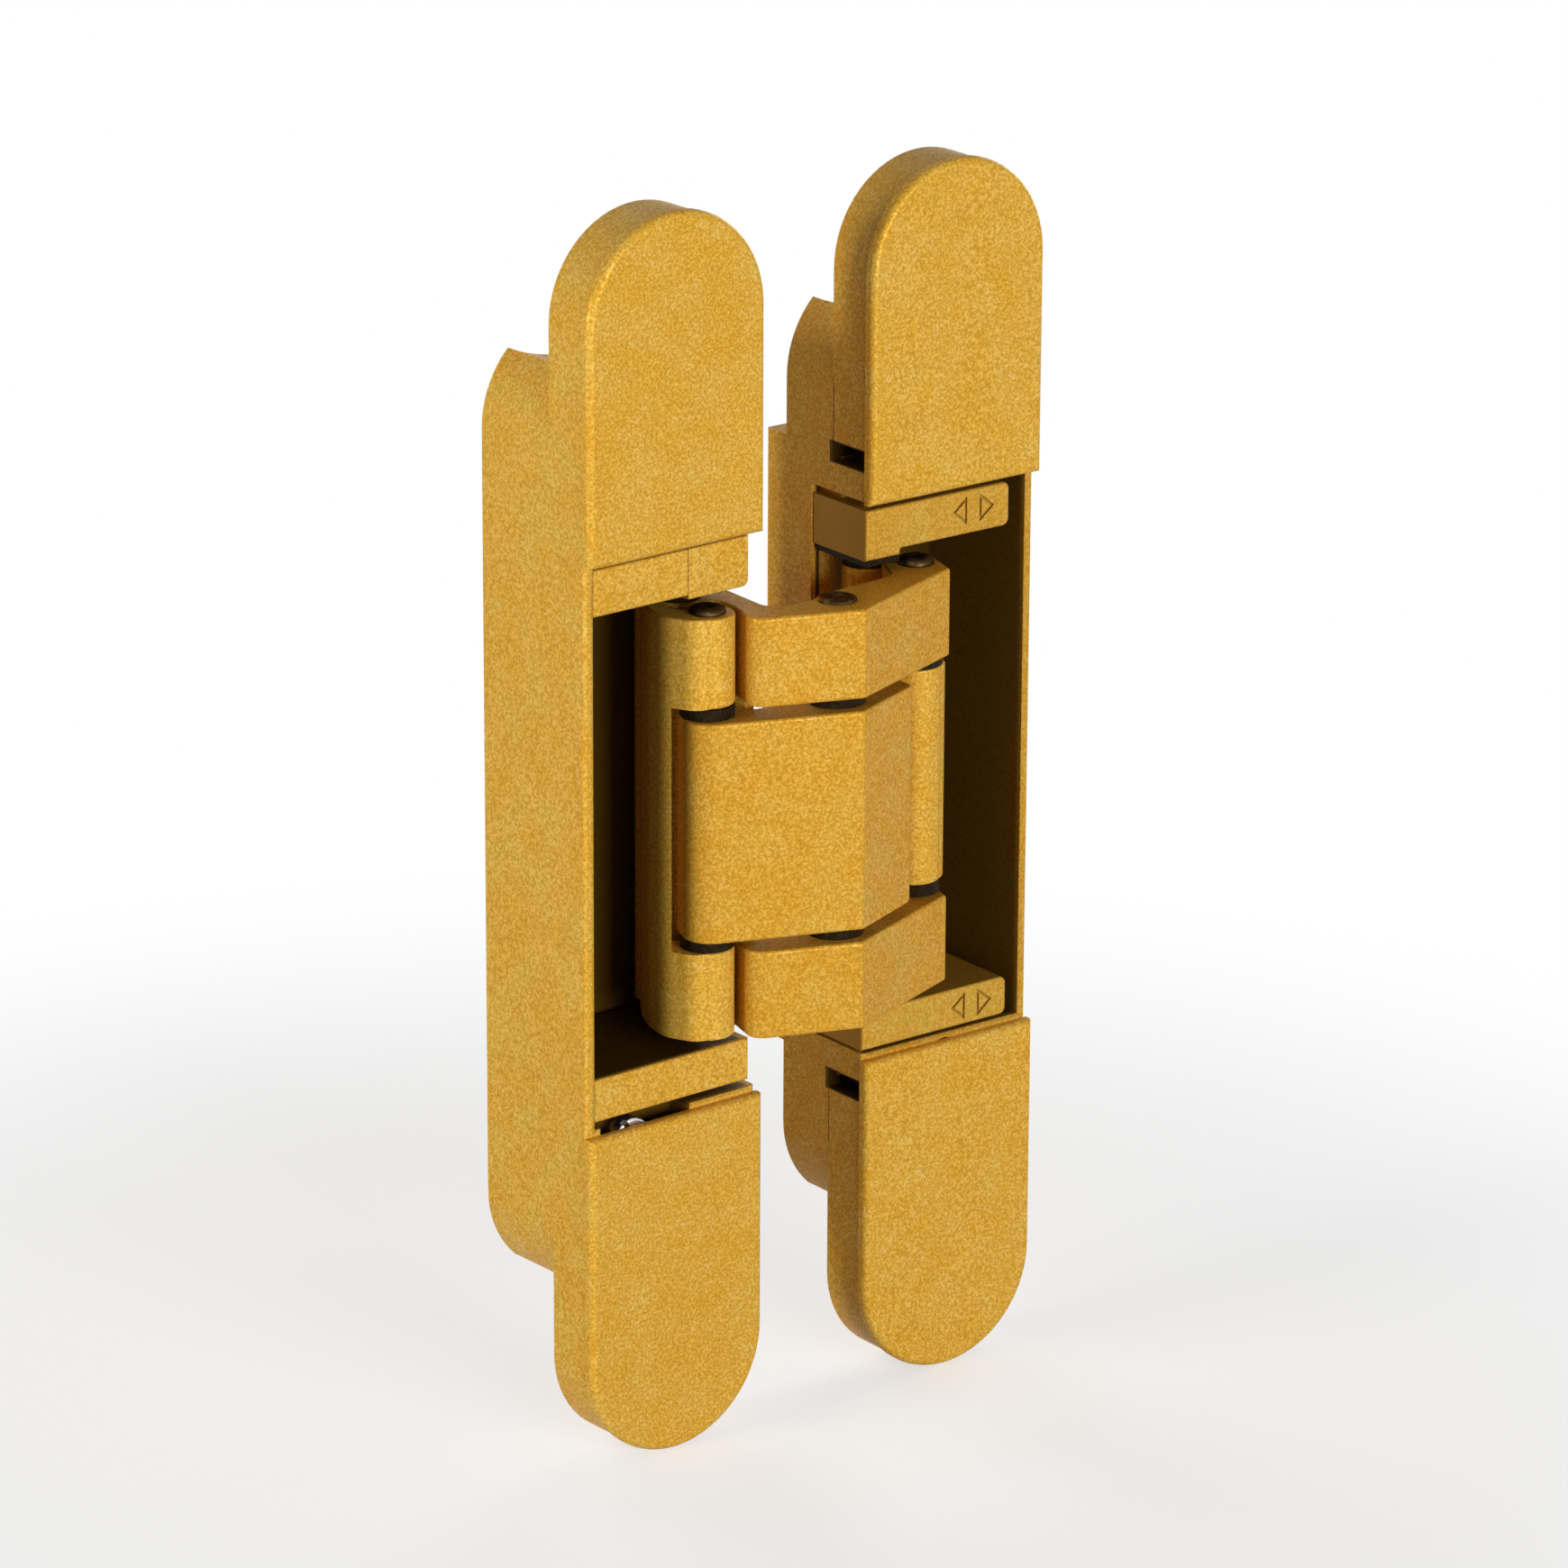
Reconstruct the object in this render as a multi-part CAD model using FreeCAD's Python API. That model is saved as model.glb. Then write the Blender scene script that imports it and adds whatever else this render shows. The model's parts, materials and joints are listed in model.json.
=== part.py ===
import FreeCAD, Part
import math
import os

# Concealed two-arm door hinge, drawn fully open.
# Millimetres. X runs across the frame unit, Y into the door frame, Z up.
# The model is drawn with the frame unit's outer front edge at X 0 and its
# cover faces at Y 0, then moved so that the origin is the centre of the frame
# unit's screw pattern, in the plane of the flange's rear face.

unitLength = 150.0
unitWidth = 25.5
coverThickness = 1.4
coverEdge = 0.8
armEdge = 0.4
linkEdge = 0.3
blockEdge = 0.35
rimEdge = 0.4
rearEdge = 0.4
coverGap = 0.3
coverBottomGap = 0.75
flangeRear = 7.7
sideInset = 0.25
wall = 1.2
backWall = 0.9
frameDepth = 20.5
doorDepth = 20.3
doorEndDepth = 16.5
bodyTopInset = 14.75
bodyBottomInset = 16.75
scoopRadius = 20.0
scoopInset = 0.5
pocketTopReach = 3.9
pocketBottomReach = 4.9
deepTopReach = 4.8
deepBottomReach = 2.6
innerWallFront = 11.7
clipSlotGap = 3.6
clipSlotHeight = 2.4
clipSlotDepth = 3.0
clipSlitWidth = 0.2
clipSlitDepth = 0.6
clipSlitLength = 7.0
coverStemRadius = 1.3
coverStemReach = 6.0
stemClearance = 0.05

caseScrewSpacing = 11.9
caseScrewInset = 13.5
caseScrewRadius = 2.4
caseScrewHeadRadius = 4.4
caseScrewConeDepth = 2.2

# The open angle between the units is 180 degrees less this much.
openAngle = -1.95
armPivotInset = 5.98
armPivotDepth = 8.65
linkPivotInset = 4.17
linkPivotFromBack = 5.13
knucklePivotInset = 6.98
knucklePivotDepth = 1.94
centreReach = 7.75
centreDepth = -3.54
doorKnuckleOffset = (16.55, 5.44)
doorLinkPivotInset = 4.1
doorLinkPivotFromBack = 5.1
crownOffset = (0.1, -5.16)

armMiddle = 1.0
forkHalf = 25.6
forkGap = 14.85
washerThickness = 1.4
armKnuckle = 2.8
linkKnuckle = 2.2
nearKnuckle = 3.2
armPinRadius = 1.6
linkPinRadius = 1.2
nearPinRadius = 1.9
centrePinRadius = 2.1
pinHeadLip = 0.25
centreHeadHeight = 0.45
frameHeadHeight = 0.75
doorHeadHeight = 0.85
pinHeadRounding = 0.5
pinHeadCup = 0.3
linkRelief = 0.35
fit = 0.05
washerFit = 0.02
washerLip = 1.3
spacerLip = 1.1

frameTopSpacer = 2.6
frameBottomSpacer = 2.0
doorTopSpacer = 1.75
doorKnuckleDrop = 1.05
doorBottomSpacer = 2.9
frameTopBlockHeight = 5.6
frameBottomBlockHeight = 5.2
doorTopBlockHeight = 6.1
doorBottomBlockHeight = 4.8
blockClearance = 0.15
blockRearGap = 1.0
windowGap = 0.8
seatDepth = 3.2
seatSidePlay = 0.8
seatFrontPlay = 1.85
seatRearPlay = 0.75
insertWidth = 10.2
insertDepth = 3.7
insertSeam = 0.2
insertCorner = 0.9
insertDrop = 0.45
blockTopLip = 0.4
blockBottomLip = 0.6
doorBlockCorner = 0.9
doorBlockInset = 0.45
doorBlockFoot = 5.15
footPlate = 0.75
doorBlockStep = 0.75
markSize = 1.75
markSpread = 0.95
markRise = 0.6
markDepth = 0.35
markInner = 0.62
plateDrop = 1.5
clampScrewRadius = 1.5
clampScrewHead = 2.4
clampScrewLength = 11.0
clampHeadHeight = 1.5
clampSlot = 0.7
clampHeadClearance = 0.2
clampScrewInset = 3.2
tailClearance = 0.1
recessLeft = 2.3
recessRight = 15.5
recessDrop = 5.6
recessDepth = 5.0

armHigh = armMiddle + forkHalf
armLow = armMiddle - forkHalf
blockHalf = forkGap - washerThickness - 2 * fit
frameBlockTop = (armHigh + frameTopSpacer, armHigh + frameTopSpacer + frameTopBlockHeight)
frameBlockBottom = (armLow - frameBottomSpacer - frameBottomBlockHeight, armLow - frameBottomSpacer)
doorBlockTop = (armHigh + doorTopSpacer, armHigh + doorTopSpacer + doorTopBlockHeight)
doorBlockBottom = (armLow - doorBottomSpacer - doorBottomBlockHeight, armLow - doorBottomSpacer)
windowTop = frameBlockTop[1] + windowGap
windowBottom = frameBlockBottom[0] - windowGap
coverTopEnd = windowTop - coverGap
coverBottomEnd = windowBottom - coverBottomGap
screwTopZ = windowTop + clampScrewInset
screwBottomZ = windowBottom - clampScrewInset
caseScrewZ = unitLength / 2 - caseScrewInset
stemTopZ = (screwTopZ + caseScrewZ) / 2
stemBottomZ = (screwBottomZ - caseScrewZ) / 2
pocketTop = windowTop + pocketTopReach
pocketBottom = windowBottom - pocketBottomReach

over = unitWidth
tall = unitLength
halfLength = unitLength / 2
middle = unitWidth / 2
innerSide = unitWidth - sideInset
armPivot = (unitWidth - armPivotInset, armPivotDepth)
linkPivot = (unitWidth - linkPivotInset, frameDepth - linkPivotFromBack)
knucklePivot = (unitWidth - knucklePivotInset, knucklePivotDepth)
centrePivot = (unitWidth + centreReach, centreDepth)
doorKnucklePivot = (centrePivot[0] + doorKnuckleOffset[0], centrePivot[1] + doorKnuckleOffset[1])
doorLinkPivotInCase = (doorLinkPivotInset, doorDepth - doorLinkPivotFromBack)
crown = (centrePivot[0] + crownOffset[0], centrePivot[1] + crownOffset[1])
blockFront = coverThickness + 0.1

upAxis = FreeCAD.Vector(0, 0, 1)
depthAxis = FreeCAD.Vector(0, 1, 0)


def vec(x, y, z=0.0):
    return FreeCAD.Vector(x, y, z)


def box(x0, x1, y0, y1, z0, z1):
    return Part.makeBox(x1 - x0, y1 - y0, z1 - z0, vec(x0, y0, z0))


def pinAlongZ(centre, radius, z0, z1):
    return Part.makeCylinder(radius, z1 - z0, vec(centre[0], centre[1], z0), upAxis)


def pinAlongY(x, z, radius, y0, y1):
    return Part.makeCylinder(radius, y1 - y0, vec(x, y0, z), depthAxis)


def stadium(inset, y0, y1, half=halfLength):
    """Full-round plate across X and Z, from depth y0 to y1."""
    radius = middle - inset
    straight = half - middle
    plate = box(inset, unitWidth - inset, y0, y1, -straight, straight)
    for z in (-straight, straight):
        plate = plate.fuse(pinAlongY(middle, z, radius, y0, y1))
    return plate.removeSplitter()


def outline(corners):
    """Closed wire through (x, y, radius) corners, each rounded.

    A rounding is no larger than the two sides that it joins.
    """
    count = len(corners)
    points = [vec(x, y) for x, y, radius in corners]
    sides = [(points[(i + 1) % count] - points[i]).Length for i in range(count)]
    halves = []
    runs = []
    for i in range(count):
        before = points[i - 1] - points[i]
        after = points[(i + 1) % count] - points[i]
        halves.append(before.getAngle(after) / 2)
        runs.append(corners[i][2] / math.tan(halves[i]))
    limits = [1.0] * count
    for i in range(count):
        following = (i + 1) % count
        share = 0.999 * sides[i] / max(runs[i] + runs[following], 1e-9)
        limits[i] = min(limits[i], share)
        limits[following] = min(limits[following], share)
    starts = []
    for i in range(count):
        here = points[i]
        if corners[i][2] <= 0:
            starts.append((here, here, here))
            continue
        before = points[i - 1] - here
        after = points[(i + 1) % count] - here
        before.normalize()
        after.normalize()
        run = runs[i] * limits[i]
        radius = run * math.tan(halves[i])
        towards = before + after
        towards.normalize()
        centre = here + towards * (radius / math.sin(halves[i]))
        starts.append((here + before * run, centre - towards * radius, here + after * run))
    edges = []
    for i in range(count):
        first, nearest, last = starts[i]
        following = starts[(i + 1) % count][0]
        if (last - first).Length > 1e-6:
            edges.append(Part.Arc(first, nearest, last).toShape())
        if (following - last).Length > 1e-6:
            edges.append(Part.makeLine(last, following))
    return Part.Wire(edges)


def slab(corners, z0, z1):
    face = Part.Face(outline(corners))
    face.translate(vec(0, 0, z0))
    return face.extrude(vec(0, 0, z1 - z0))


def hull(first, firstRadius, second, secondRadius, z0, z1):
    """Bar with two round ends."""
    a = vec(*first)
    b = vec(*second)
    along = b - a
    length = along.Length
    along.normalize()
    turn = math.asin((firstRadius - secondRadius) / length)
    side = vec(-along.y, along.x)
    points = []
    for sign in (1, -1):
        normal = along * math.sin(turn) + side * (sign * math.cos(turn))
        points.append((a + normal * firstRadius, b + normal * secondRadius))
    loop = [points[0][0], points[0][1], points[1][1], points[1][0], points[0][0]]
    bar = Part.Face(Part.makePolygon(loop))
    bar.translate(vec(0, 0, z0))
    bar = bar.extrude(vec(0, 0, z1 - z0))
    bar = bar.fuse(pinAlongZ(first, firstRadius, z0, z1))
    bar = bar.fuse(pinAlongZ(second, secondRadius, z0, z1))
    return bar.removeSplitter()


def softened(shape, radius, choose):
    edges = [edge for edge in shape.Edges if choose(edge)]
    return shape.makeFillet(radius, edges)


def eased(shape, radius):
    """Rounds the outline edges of a plate's upper and lower face."""
    low = shape.BoundBox.ZMin + 0.001
    high = shape.BoundBox.ZMax - 0.001
    def isEnd(edge):
        return not edge.Closed and (edge.BoundBox.ZMax < low or edge.BoundBox.ZMin > high)

    return softened(shape, radius, isEnd)


# The two units stand as mirror images about a line through the centre pin.
mirrorAngle = math.radians(openAngle / 2)
mirrorNormal = vec(math.cos(mirrorAngle), math.sin(mirrorAngle))


def mirrored(point):
    offset = vec(point[0] - centrePivot[0], point[1] - centrePivot[1])
    step = mirrorNormal * (2 * offset.dot(mirrorNormal))
    return (point[0] - step.x, point[1] - step.y)


doorOrigin = mirrored((unitWidth, 0))
doorArmPivot = mirrored(armPivot)


def toDoor(point):
    """Point in the door unit's own frame, moved to the shared frame."""
    angle = math.radians(openAngle)
    x = doorOrigin[0] + point[0] * math.cos(angle) - point[1] * math.sin(angle)
    y = doorOrigin[1] + point[0] * math.sin(angle) + point[1] * math.cos(angle)
    return (x, y)


def placeDoor(shape):
    copy = shape.copy()
    copy.rotate(vec(0, 0), upAxis, openAngle)
    copy.translate(vec(doorOrigin[0], doorOrigin[1]))
    return copy


doorLinkPivot = toDoor(doorLinkPivotInCase)
parts = {}


def makeCase(depth, hand, endDepth):
    """Casting of one unit; hand is 1 when its inner side is at high X."""
    flange = stadium(sideInset, coverThickness, flangeRear)
    flange = softened(flange, rimEdge, lambda e: e.BoundBox.YMax < coverThickness + 0.01)
    bodyRise = (bodyBottomInset - bodyTopInset) / 2
    body = stadium(sideInset, flangeRear - 0.5, depth, halfLength - bodyTopInset - bodyRise)
    body.translate(vec(0, 0, bodyRise))
    for z in (scoopInset - halfLength + 2 * bodyRise, halfLength - scoopInset):
        body = body.cut(pinAlongY(middle, z, scoopRadius, flangeRear, depth + 1))
    case = flange.fuse(body).removeSplitter()
    case = softened(case, rearEdge, lambda e: e.BoundBox.YMin > depth - 0.01)
    if endDepth < depth:
        for z0, z1 in ((-tall, windowBottom - deepBottomReach), (windowTop + deepTopReach, tall)):
            case = case.cut(box(-over, unitWidth + over, endDepth, depth + over, z0, z1))
    low = sideInset + wall
    high = innerSide - wall
    inside = depth - backWall
    case = case.cut(box(low, high, -1, inside, windowBottom, windowTop))
    case = case.cut(box(low, high, flangeRear, endDepth - backWall, pocketBottom, pocketTop))
    deepBottom = max(pocketBottom, windowBottom - deepBottomReach + backWall)
    deepTop = min(pocketTop, windowTop + deepTopReach - backWall)
    case = case.cut(box(low, high, flangeRear, inside, deepBottom, deepTop))
    reliefLow = armLow - frameBottomSpacer / 2
    reliefHigh = armHigh + frameTopSpacer
    if hand > 0:
        case = case.cut(box(high - 0.5, unitWidth + 1, -1, innerWallFront, windowBottom, windowTop))
        relief = (innerWallFront + 0.2, inside, reliefLow, reliefHigh)
        case = case.cut(box(high - 0.5, high + linkRelief, *relief))
    else:
        case = case.cut(box(-1, low + 0.5, -1, innerWallFront, windowBottom, windowTop))
        case = case.cut(box(low - linkRelief, low + 0.5, innerWallFront + 0.2, inside, reliefLow, reliefHigh))
    for x in (middle - caseScrewSpacing / 2, middle + caseScrewSpacing / 2):
        for z in (-caseScrewZ, caseScrewZ):
            case = case.cut(pinAlongY(x, z, caseScrewRadius, -1, depth + 1))
            cone = Part.makeCone(
                caseScrewHeadRadius, caseScrewRadius, caseScrewConeDepth, vec(x, coverThickness, z), depthAxis
            )
            case = case.cut(cone)
    for z in (stemBottomZ, stemTopZ):
        case = case.cut(pinAlongY(middle, z, coverStemRadius + stemClearance, -1, coverStemReach + 1))
    return case.removeSplitter()


def coverEnd(top):
    """Cover plate of one end with a rounded front edge and a clip stem."""
    plate = stadium(0, 0, coverThickness)
    if top:
        plate = plate.cut(box(-over, unitWidth + over, -over, over, -tall, coverTopEnd))
        stemZ = stemTopZ
    else:
        plate = plate.cut(box(-over, unitWidth + over, -over, over, coverBottomEnd, tall))
        stemZ = stemBottomZ
    plate = softened(plate, coverEdge, lambda e: e.BoundBox.YMax < 0.01)
    stem = pinAlongY(middle, stemZ, coverStemRadius, coverThickness - 0.2, coverStemReach)
    return plate.fuse(stem).removeSplitter()


# Clamp screws reach through the flange into the tails of the blocks. Their
# slotted heads face the front, behind the covers.
screwFront = blockFront + 0.2
frameScrewBottomX = (recessLeft + recessRight) / 2 - 1.5
frameScrewBottomZ = windowBottom - clampScrewHead


def clampScrew(x, z, turn):
    head = pinAlongY(x, z, clampScrewHead, screwFront, screwFront + clampHeadHeight)
    head = softened(head, 0.35, lambda e: e.BoundBox.YMax < screwFront + 0.01)
    screw = head.fuse(pinAlongY(x, z, clampScrewRadius, screwFront + 1, screwFront + clampScrewLength))
    across = clampScrewHead + 1
    slotBar = box(x - across, x + across, 0, screwFront + clampSlot, z - clampSlot / 2, z + clampSlot / 2)
    slotBar.rotate(vec(x, 0, z), depthAxis, turn)
    return screw.cut(slotBar).removeSplitter()


def withScrewHole(shape, x, z):
    """Threaded length in a block's tail or flange."""
    return shape.cut(pinAlongY(x, z, clampScrewRadius, 0, screwFront + clampScrewLength))


def withHeadSeat(case, x, z):
    case = case.cut(pinAlongY(x, z, clampScrewHead + clampHeadClearance, -1, screwFront + clampHeadHeight))
    return withScrewHole(case, x, z)


# Frame unit casting and its covers. The lower clamp screw stands in a recess
# that shows under the lower block.
frameCase = makeCase(frameDepth, 1, frameDepth)
recess = box(recessLeft, recessRight, -1, recessDepth, windowBottom - recessDrop, windowBottom + 1)
frameCase = frameCase.cut(recess)
frameCase = withScrewHole(frameCase, frameScrewBottomX, frameScrewBottomZ)
parts["frame_case"] = withHeadSeat(frameCase, middle, screwTopZ)
parts["frame_clamp_screw_top"] = clampScrew(middle, screwTopZ, 20)
parts["frame_clamp_screw_bottom"] = clampScrew(frameScrewBottomX, frameScrewBottomZ, 60)
coverTop = coverEnd(True)
coverBottom = coverEnd(False)
parts["frame_cover_top"] = coverTop
parts["frame_cover_bottom"] = coverBottom

# Door unit casting, with the shallower ends and the clip slots in its inner side.
doorCase = makeCase(doorDepth, -1, doorEndDepth)
slotFront = coverThickness - 0.1
for start, sign in ((windowTop + clipSlotGap, 1), (windowBottom - clipSlotGap, -1)):
    z0, z1 = sorted((start, start + sign * clipSlotHeight))
    doorCase = doorCase.cut(box(-over, sideInset + clipSlotDepth, slotFront, flangeRear, z0, z1))
    z0, z1 = sorted((start, start + sign * (clipSlotHeight + clipSlitLength)))
    slitFront = flangeRear - clipSlitWidth
    doorCase = doorCase.cut(box(-over, sideInset + clipSlitDepth, slitFront, flangeRear, z0, z1))
doorCase = withHeadSeat(doorCase, middle, screwTopZ)
doorCase = withHeadSeat(doorCase, middle, screwBottomZ)
parts["door_case"] = placeDoor(doorCase)
parts["door_clamp_screw_top"] = placeDoor(clampScrew(middle, screwTopZ, -35))
parts["door_clamp_screw_bottom"] = placeDoor(clampScrew(middle, screwBottomZ, 50))
parts["door_cover_top"] = placeDoor(coverTop)
parts["door_cover_bottom"] = placeDoor(coverBottom)


def seatSlot(centre, z0, z1):
    """Roomy seat for a link pin, whose end wanders as the hinge folds."""
    x, y = centre
    side = linkPinRadius + seatSidePlay
    front = y - linkPinRadius - seatFrontPlay
    rear = y + linkPinRadius + seatRearPlay
    corner = linkPinRadius
    corners = [
        (x - side, front, corner), (x + side, front, corner),
        (x + side, rear, corner), (x - side, rear, corner),
    ]
    return slab(corners, z0, z1)


def withSeats(block, pivot, link, z0, z1):
    block = block.cut(pinAlongZ(pivot, armPinRadius, z0, z1))
    return block.cut(seatSlot(link, z0, z1))


def isFrontEdge(edge):
    return edge.BoundBox.YMax < blockFront + 0.01


def withTail(block, right, rear, z0, z1):
    """Block with the tail that the casting's pocket end holds."""
    tail = box(blockLeft, right, flangeRear + tailClearance, rear, z0, z1)
    return block.fuse(tail).removeSplitter()


# Frame blocks that hold the arm pin and the link pin.
blockLeft = sideInset + wall + blockClearance
blockRight = innerSide - wall - blockClearance
frameBlockRear = frameDepth - backWall - blockRearGap
insertLeft = unitWidth - insertWidth
lipRear = innerWallFront - 0.2


def frameBlock(heights, lip):
    """Block whose front part fills the gap in the inner wall."""
    front = box(blockLeft, blockRight + lip, blockFront, lipRear, *heights)
    front = softened(front, blockEdge, isFrontEdge)
    deep = box(blockLeft, blockRight, lipRear - 0.5, frameBlockRear, *heights)
    return front.fuse(deep).removeSplitter()


topBlock = frameBlock(frameBlockTop, blockTopLip)
topBlock = topBlock.cut(box(insertLeft, unitWidth + over, 0, blockFront + insertDepth, *frameBlockTop))
bottomBlock = frameBlock(frameBlockBottom, blockBottomLip)
topBlock = withTail(topBlock, blockRight, frameBlockRear, frameBlockTop[1] - 1, pocketTop)
bottomBlock = withTail(bottomBlock, blockRight, frameBlockRear, pocketBottom, frameBlockBottom[0] + 1)
topBlock = withScrewHole(topBlock, middle, screwTopZ)
bottomBlock = withScrewHole(bottomBlock, frameScrewBottomX, frameScrewBottomZ)
topSeats = (armHigh, frameBlockTop[0] + seatDepth)
bottomSeats = (frameBlockBottom[1] - seatDepth, armLow)
parts["frame_block_top"] = withSeats(topBlock, armPivot, linkPivot, *topSeats)
parts["frame_block_bottom"] = withSeats(bottomBlock, armPivot, linkPivot, *bottomSeats)
insertRight = blockRight + blockTopLip
insert = box(
    insertLeft + insertSeam, insertRight, blockFront + fit, blockFront + insertDepth,
    frameBlockTop[0] - insertDrop, frameBlockTop[1],
)
insert = softened(
    insert, insertCorner,
    lambda e: e.BoundBox.XMin > blockRight and e.BoundBox.ZMax < frameBlockTop[0],
)
insert = softened(insert, 0.2, lambda e: e.BoundBox.YMax < blockFront + fit + 0.01)
insert = insert.cut(pinAlongZ(armPivot, armPinRadius + spacerLip + 0.1, armHigh, frameBlockTop[0]))
parts["frame_height_insert"] = insert


def triangleMark(x, z, size, direction, depth):
    a = vec(x, blockFront - 0.5, z - size)
    b = vec(x, blockFront - 0.5, z + size)
    c = vec(x + direction * size * 1.25, blockFront - 0.5, z)
    outer = Part.Face(Part.makePolygon([a, b, c, a]))
    centre = (a + b + c) * (1 / 3)
    inner = [centre + (p - centre) * markInner for p in (a, b, c)]
    hole = Part.Face(Part.makePolygon(inner + [inner[0]]))
    return outer.cut(hole).extrude(vec(0, 0.5 + depth, 0))


# Door blocks with the arrow marks that show the sideways adjustment.
doorBlockRear = doorDepth - backWall - blockRearGap
ownArmPivot = (armPivotInset, armPivotDepth)


doorTailRear = doorEndDepth - backWall - blockRearGap


def doorBlock(z0, z1, right, markX, markZ, step=None):
    front = box(doorBlockInset, right, blockFront, lipRear, z0, z1)
    deep = box(blockLeft, right, lipRear - 0.1, doorBlockRear, z0, z1)
    shape = front.fuse(deep).removeSplitter()
    if step:
        shape = shape.cut(step).removeSplitter()

    def isRightEdge(edge):
        return edge.BoundBox.XMin > right - 0.01 and edge.BoundBox.YLength > wall

    shape = softened(shape, doorBlockCorner, isRightEdge)
    shape = softened(shape, blockEdge, isFrontEdge)
    for direction in (-1, 1):
        x = markX + direction * markSpread
        shape = shape.cut(triangleMark(x, markZ, markSize, direction, markDepth))
    return shape


doorTopRight = unitWidth - 3.65
doorBottomRight = unitWidth - 3.1
doorTopMiddle = sum(doorBlockTop) / 2
doorBottomMiddle = sum(doorBlockBottom) / 2
footEnd = doorBlockInset + doorBlockFoot
stepTop = doorBlockTop[0] + doorBlockStep
step = box(footEnd, unitWidth, 0, doorDepth, doorBlockTop[0] - 1, stepTop)
step = softened(
    step, 0.3,
    lambda e: e.BoundBox.XMax < footEnd + 0.1 and e.BoundBox.ZMin > doorBlockTop[0],
)
step = step.cut(pinAlongZ(ownArmPivot, armPinRadius + spacerLip, doorBlockTop[0] - 2, doorBlockTop[1]))
topMark = (doorTopRight - 5.45, doorTopMiddle + markRise)
bottomMark = (doorBottomRight - 5.4, doorBottomMiddle)
doorTop = doorBlock(*doorBlockTop, doorTopRight, *topMark, step)
doorBottom = doorBlock(*doorBlockBottom, doorBottomRight, *bottomMark)
doorTop = withSeats(doorTop, ownArmPivot, doorLinkPivotInCase, armHigh, doorBlockTop[0] + seatDepth)
doorBottom = withSeats(doorBottom, ownArmPivot, doorLinkPivotInCase, doorBlockBottom[1] - seatDepth, armLow)
doorTop = withTail(doorTop, doorTopRight, doorTailRear, doorBlockTop[1] - 1, pocketTop)
doorBottom = withTail(doorBottom, doorBottomRight, doorTailRear, pocketBottom, doorBlockBottom[0] + 1)
parts["door_block_top"] = placeDoor(withScrewHole(doorTop, middle, screwTopZ))
parts["door_block_bottom"] = placeDoor(withScrewHole(doorBottom, middle, screwBottomZ))

# Fork arm: two prongs joined by the tall knuckle at its own pivot.
def near(point, dx, dy, radius):
    """Plan corner given from a pivot."""
    return (point[0] + dx, point[1] + dy, radius)


def halfLeg(flip):
    """Leg from the crown to the far pivot, as (x, y, radius) corners."""
    points = [
        near(armPivot, 2.78, -12.9, 1.6),
        near(armPivot, 2.68, -3.95, 1.5),
        near(armPivot, -0.436 * armKnuckle, -0.625 * armKnuckle, 1.0),
        near(armPivot, 0, 0, 0),
        near(armPivot, 0.671 * armKnuckle, 0.746 * armKnuckle, 0),
    ]
    if flip:
        points = [mirrored(p[:2]) + (p[2],) for p in points]
    return points


def barEnd(pivot, side):
    """Corners round the near pivot; side is -1 at the frame."""
    here = vec(*pivot)
    corner = vec(*crown)
    if side < 0:
        along = here + vec(-2.32, -3.74) - corner
    else:
        along = here + vec(1.2, -4.35) - corner
    along.normalize()
    back = vec(0, 1) - along * along.y
    back.normalize()
    reach = (here - corner).dot(along)
    depth = (here - corner).dot(back)
    tip = nearKnuckle + fit
    out = []
    ends = [
        (reach + tip, depth + nearKnuckle, nearKnuckle - 0.1),
        (reach - tip - 0.15, depth + nearKnuckle, 2.0),
    ]
    if side < 0:
        ends = [(reach + tip, 0, nearKnuckle + 0.2)] + ends
    else:
        ends = [(reach + 0.3, 0, 0.6), (reach + tip, depth - 0.6, 0.8)] + ends
    for run, rise, radius in ends:
        p = corner + along * run + back * rise
        out.append((p.x, p.y, radius))
    return out


frameEnd = barEnd(knucklePivot, -1)
doorEnd = barEnd(doorKnucklePivot, 1)
front = crown + (0.5,)
leg = halfLeg(False)
doorLeg = halfLeg(True)
# The fork is a narrow hook, so that light falls through beside its leg.
forkInside = [
    near(doorKnucklePivot, -2.6, 3.3, 1.5),
    near(doorKnucklePivot, -5.4, -1.8, 1.5),
    near(centrePivot, 7.35, 3.34, 3.0),
    near(centrePivot, 0.6, 2.95, 1.5),
    near(centrePivot, -2.4, 1.84, 1.5),
    near(centrePivot, -7.95, 1.99, 2.4),
    near(armPivot, 6.5, -1.0, 1.6),
    near(armPivot, 0.5585 * armKnuckle, 0.8295 * armKnuckle, 0),
]
forkLeg = [leg[3], leg[2], leg[1], near(armPivot, 2.78, -7.2, 1.2), near(armPivot, 1.26, -12.29, 2.0)]
innerInside = [mirrored(p[:2]) + (p[2],) for p in forkInside]
innerInside[0] = near(knucklePivot, 2.3, 3.4, 1.6)
innerInside[1] = near(knucklePivot, 5.4, -1.8, 1.5)
forkPlan = [front] + doorEnd[:-1] + forkInside + forkLeg
innerPlan = [front] + frameEnd[:-1] + innerInside + [doorLeg[3], doorLeg[2], doorLeg[1], doorLeg[0]]

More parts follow.
